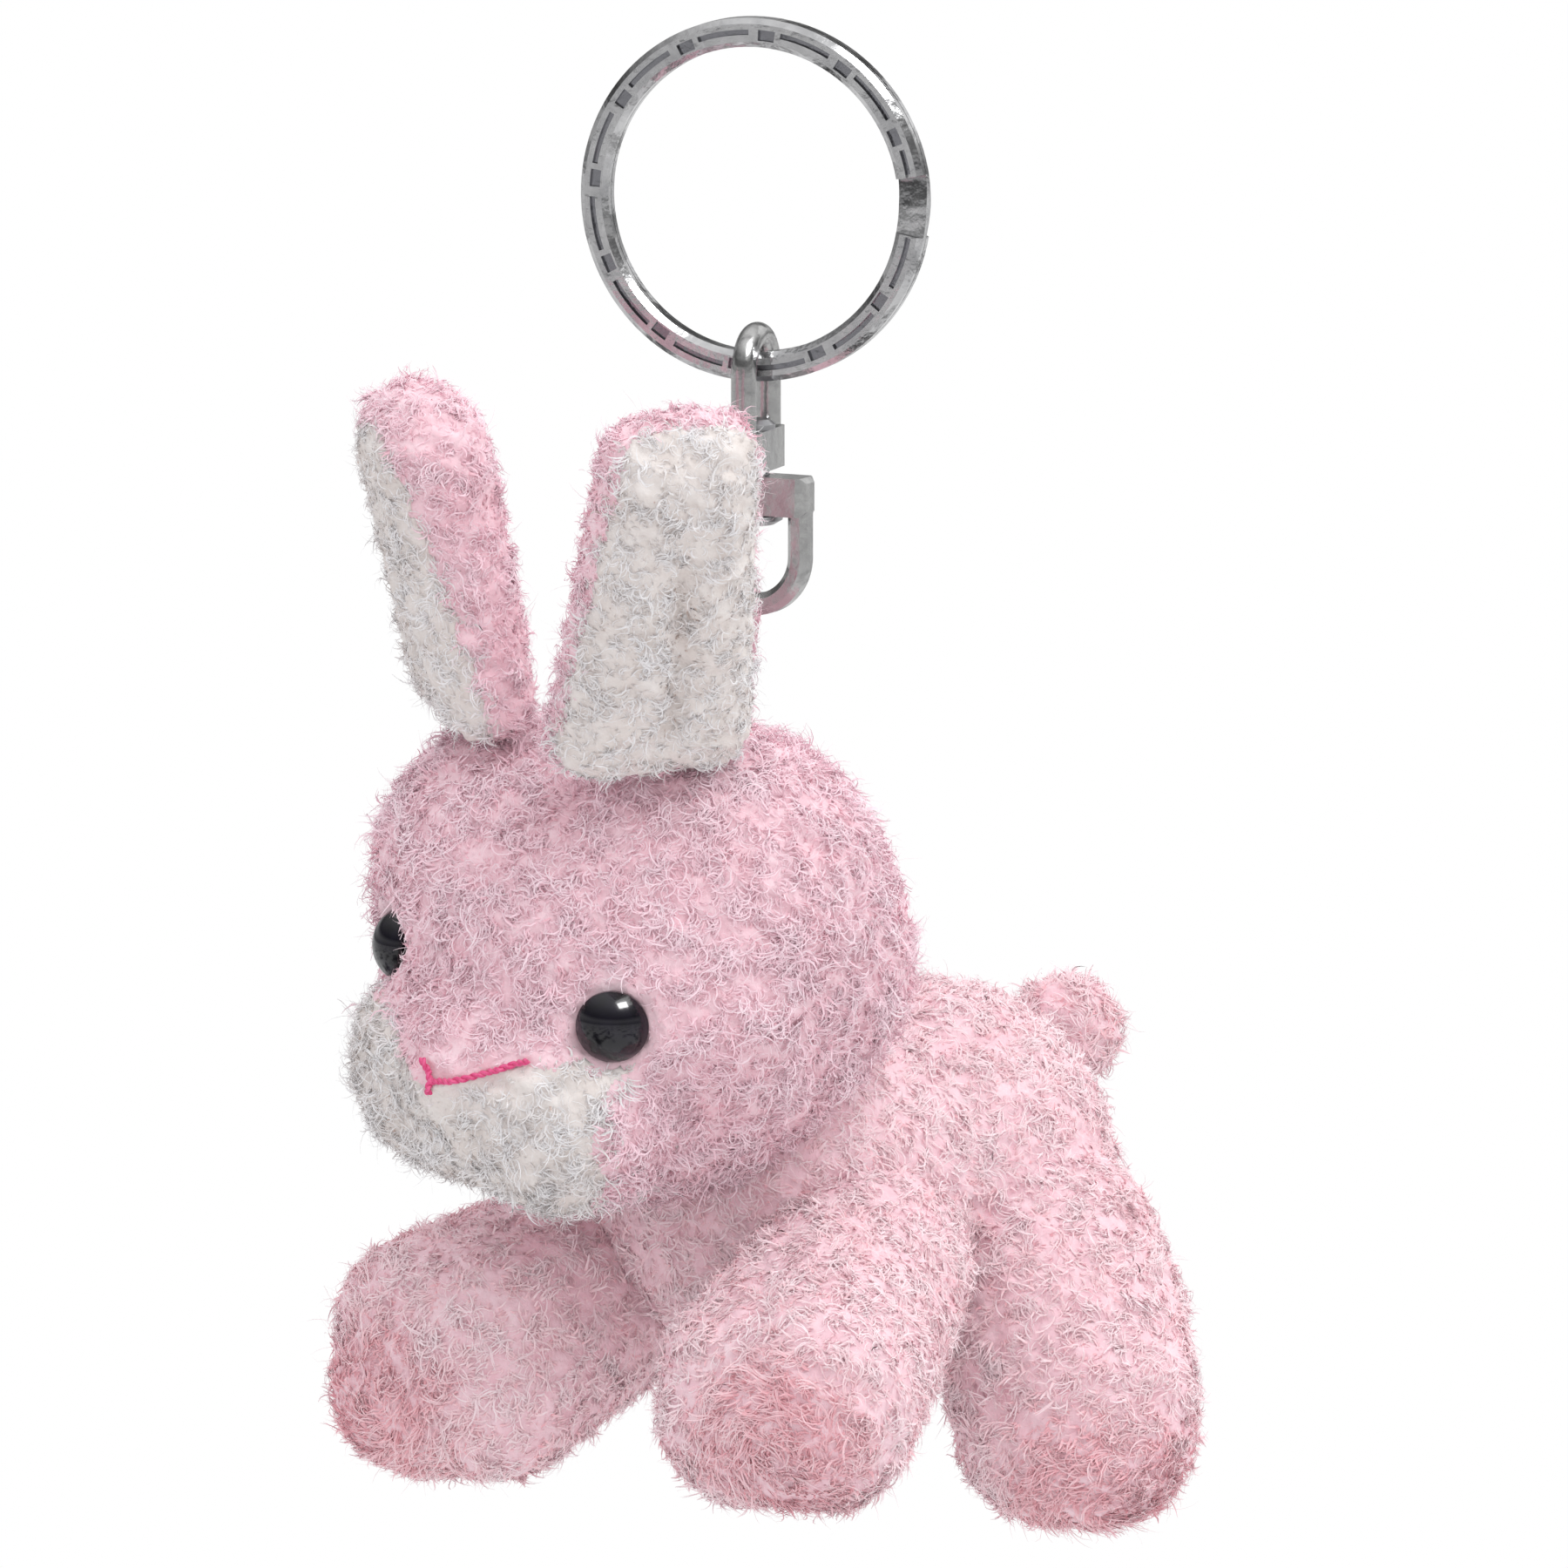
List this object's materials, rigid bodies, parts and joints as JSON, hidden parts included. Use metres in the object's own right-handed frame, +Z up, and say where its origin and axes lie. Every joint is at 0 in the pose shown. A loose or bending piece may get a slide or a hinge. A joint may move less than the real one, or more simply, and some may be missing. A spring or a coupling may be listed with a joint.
{
  "type": "plush keychain",
  "caption": "Small stuffed rabbit on all fours with upright ears and a white muzzle, hung by a sewn loop from a two-link swivel and a patterned split ring.",
  "frame": {"origin": "centre of the split ring, where the key or bag loop goes", "axes": "+Z up as it hangs, the rabbit faces -Y, its left side is +X"},
  "size_m": [0.0612, 0.0827, 0.1253],
  "materials": {
    "plated_wire": "polished",
    "plated_casting": "gloss",
    "rivet_steel": "satin",
    "tape": "matte",
    "pink_plush": "matte",
    "white_plush": "matte",
    "fibre_filling": "matte",
    "black_plastic": "gloss",
    "washer_plastic": "matte",
    "bright_thread": "satin",
    "pink_thread": "satin"
  },
  "bodies": {
    "ring": {"split_ring": "plated_wire"},
    "shackle": {"upper_link": "plated_casting", "swivel_rivet": "rivet_steel"},
    "loop_link": {"lower_link": "plated_casting"},
    "tape_loop": {"hanging_loop": "tape"},
    "rabbit": {"head_front_panel": "pink_plush", "head_back_panel": "pink_plush", "muzzle_panel": "white_plush", "head_stuffing": "fibre_filling", "eye_left": "black_plastic", "eye_right": "black_plastic", "eye_washer_left": "washer_plastic", "eye_washer_right": "washer_plastic", "mouth_stitch": "bright_thread", "body_left_panel": "pink_plush", "body_right_panel": "pink_plush", "belly_panel": "pink_plush", "body_stuffing": "fibre_filling", "front_leg_left": "pink_plush", "front_leg_right": "pink_plush", "hind_leg_left": "pink_plush", "hind_leg_right": "pink_plush", "front_stuffing_left": "fibre_filling", "front_stuffing_right": "fibre_filling", "hind_stuffing_left": "fibre_filling", "hind_stuffing_right": "fibre_filling", "tail": "pink_plush", "closing_stitch": "pink_thread"},
    "ear_left": {"ear_back_left": "pink_plush", "ear_lining_left": "white_plush"},
    "ear_right": {"ear_back_right": "pink_plush", "ear_lining_right": "white_plush"}
  },
  "joints": [
    {"name": "ring_swing", "type": "hinge", "parent": "ring", "child": "shackle", "pos_m": [0, 0, -0.0138], "axis": [-0.9092, -0.4163, 0], "range_deg": [-68, 70]},
    {"name": "swivel_turn", "type": "hinge", "parent": "shackle", "child": "loop_link", "pos_m": [0, 0, -0.0226], "axis": [0, 0, 1], "continuous": true},
    {"name": "loop_swing", "type": "hinge", "parent": "loop_link", "child": "tape_loop", "pos_m": [0, 0, -0.0335], "axis": [0.9563, 0.2924, 0], "range_deg": [-30, 60]},
    {"name": "loop_sway", "type": "hinge", "parent": "tape_loop", "child": "rabbit", "pos_m": [0, 0, -0.0464], "axis": [0.2924, -0.9563, 0], "range_deg": [-15, 15]},
    {"name": "ear_left_flex", "type": "hinge", "parent": "rabbit", "child": "ear_left", "pos_m": [0.01082, -0.02489, -0.04046], "axis": [0.4992, 0.8632, 0.0748], "range_deg": [-25, 35], "stiffness_Nm_per_rad": 0.004},
    {"name": "ear_right_flex", "type": "hinge", "parent": "rabbit", "child": "ear_right", "pos_m": [-0.00841, -0.02454, -0.03834], "axis": [0.8773, -0.4258, -0.2216], "range_deg": [-25, 35], "stiffness_Nm_per_rad": 0.004}
  ]
}
